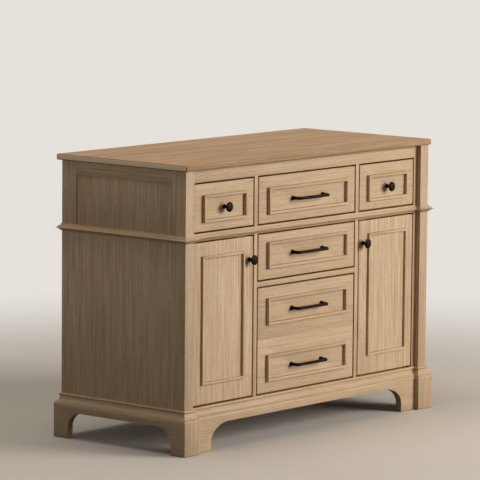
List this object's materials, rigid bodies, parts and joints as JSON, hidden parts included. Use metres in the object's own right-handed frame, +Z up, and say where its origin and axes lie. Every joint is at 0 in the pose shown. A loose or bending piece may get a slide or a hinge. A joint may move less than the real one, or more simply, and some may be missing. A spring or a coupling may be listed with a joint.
{
  "type": "vanity unit",
  "caption": "Free-standing oak bathroom vanity cabinet with drawers, cupboards and bracket feet.",
  "frame": {"origin": "centre of the outline's bottom, on the floor", "axes": "+X to the right seen from the front, +Y to the back, +Z up"},
  "size_m": [1.241, 0.546, 0.889],
  "materials": {
    "oak": "matte lacquered oak",
    "oak_top": "matte lacquered oak",
    "inner_wood": "lacquered birch plywood",
    "black_metal": "matte black",
    "zinc_steel": "zinc plated",
    "steel": "satin",
    "glide_plastic": "matte",
    "catch_plastic": "matte"
  },
  "bodies": {
    "root": {"apron_front": "oak", "apron_left": "oak", "apron_right": "oak", "back_panel": "inner_wood", "base_moulding": "oak", "cabinet_runners": "zinc_steel", "corner_post_left": "oak", "corner_post_right": "oak", "divider_panel": "oak", "door_catches": "catch_plastic", "door_pivot_pins": "black_metal", "face_frame": "oak", "floor_panel": "oak", "foot_blocks": "oak", "levelling_glides": "glide_plastic", "partition_left": "oak", "partition_right": "oak", "plinth_blocking": "inner_wood", "plinth_rail_back": "oak", "runner_packers": "inner_wood", "shelf_left": "oak", "shelf_pins": "steel", "shelf_right": "oak", "side_frame_left": "oak", "side_frame_right": "oak", "side_panel_left": "oak", "side_panel_right": "oak", "top_slab": "oak_top", "top_ties": "inner_wood", "waist_moulding": "oak"},
    "drawer_upper_left": {"drawer_front_upper_left": "oak", "drawer_box_upper_left": "inner_wood", "drawer_handle_upper_left": "black_metal", "drawer_runner_upper_left": "zinc_steel"},
    "intermediate_upper_left": {"intermediate_runner_upper_left": "zinc_steel"},
    "drawer_upper_centre": {"drawer_front_upper_centre": "oak", "drawer_box_upper_centre": "inner_wood", "drawer_handle_upper_centre": "black_metal", "drawer_runner_upper_centre": "zinc_steel"},
    "intermediate_upper_centre": {"intermediate_runner_upper_centre": "zinc_steel"},
    "drawer_upper_right": {"drawer_front_upper_right": "oak", "drawer_box_upper_right": "inner_wood", "drawer_handle_upper_right": "black_metal", "drawer_runner_upper_right": "zinc_steel"},
    "intermediate_upper_right": {"intermediate_runner_upper_right": "zinc_steel"},
    "drawer_middle": {"drawer_front_middle": "oak", "drawer_box_middle": "inner_wood", "drawer_handle_middle": "black_metal", "drawer_runner_middle": "zinc_steel"},
    "intermediate_middle": {"intermediate_runner_middle": "zinc_steel"},
    "drawer_deep": {"drawer_front_deep": "oak", "drawer_box_deep": "inner_wood", "drawer_handle_deep": "black_metal", "drawer_runner_deep": "zinc_steel"},
    "intermediate_deep": {"intermediate_runner_deep": "zinc_steel"},
    "door_left": {"door_left": "oak", "door_knob_left": "black_metal"},
    "door_right": {"door_right": "oak", "door_knob_right": "black_metal"}
  },
  "joints": [
    {"name": "upper_left_drawer_slide", "type": "slide", "parent": "root", "child": "drawer_upper_left", "axis": [0, -1, 0], "range_m": [0, 0.4]},
    {"name": "upper_left_intermediate_slide", "type": "slide", "parent": "root", "child": "intermediate_upper_left", "axis": [0, -1, 0], "range_m": [0, 0.2]},
    {"name": "upper_centre_drawer_slide", "type": "slide", "parent": "root", "child": "drawer_upper_centre", "axis": [0, -1, 0], "range_m": [0, 0.4]},
    {"name": "upper_centre_intermediate_slide", "type": "slide", "parent": "root", "child": "intermediate_upper_centre", "axis": [0, -1, 0], "range_m": [0, 0.2]},
    {"name": "upper_right_drawer_slide", "type": "slide", "parent": "root", "child": "drawer_upper_right", "axis": [0, -1, 0], "range_m": [0, 0.4]},
    {"name": "upper_right_intermediate_slide", "type": "slide", "parent": "root", "child": "intermediate_upper_right", "axis": [0, -1, 0], "range_m": [0, 0.2]},
    {"name": "middle_drawer_slide", "type": "slide", "parent": "root", "child": "drawer_middle", "axis": [0, -1, 0], "range_m": [0, 0.4]},
    {"name": "middle_intermediate_slide", "type": "slide", "parent": "root", "child": "intermediate_middle", "axis": [0, -1, 0], "range_m": [0, 0.2]},
    {"name": "deep_drawer_slide", "type": "slide", "parent": "root", "child": "drawer_deep", "axis": [0, -1, 0], "range_m": [0, 0.4]},
    {"name": "deep_intermediate_slide", "type": "slide", "parent": "root", "child": "intermediate_deep", "axis": [0, -1, 0], "range_m": [0, 0.2]},
    {"name": "left_door_hinge", "type": "hinge", "parent": "root", "child": "door_left", "pos_m": [-0.535, -0.231, 0.395], "axis": [0, 0, -1], "range_deg": [0, 105]},
    {"name": "right_door_hinge", "type": "hinge", "parent": "root", "child": "door_right", "pos_m": [0.535, -0.231, 0.395], "axis": [0, 0, 1], "range_deg": [0, 105]}
  ],
  "couplings": [
    {"joint": "upper_left_intermediate_slide", "follows": "upper_left_drawer_slide", "ratio": 0.5},
    {"joint": "upper_centre_intermediate_slide", "follows": "upper_centre_drawer_slide", "ratio": 0.5},
    {"joint": "upper_right_intermediate_slide", "follows": "upper_right_drawer_slide", "ratio": 0.5},
    {"joint": "middle_intermediate_slide", "follows": "middle_drawer_slide", "ratio": 0.5},
    {"joint": "deep_intermediate_slide", "follows": "deep_drawer_slide", "ratio": 0.5}
  ]
}
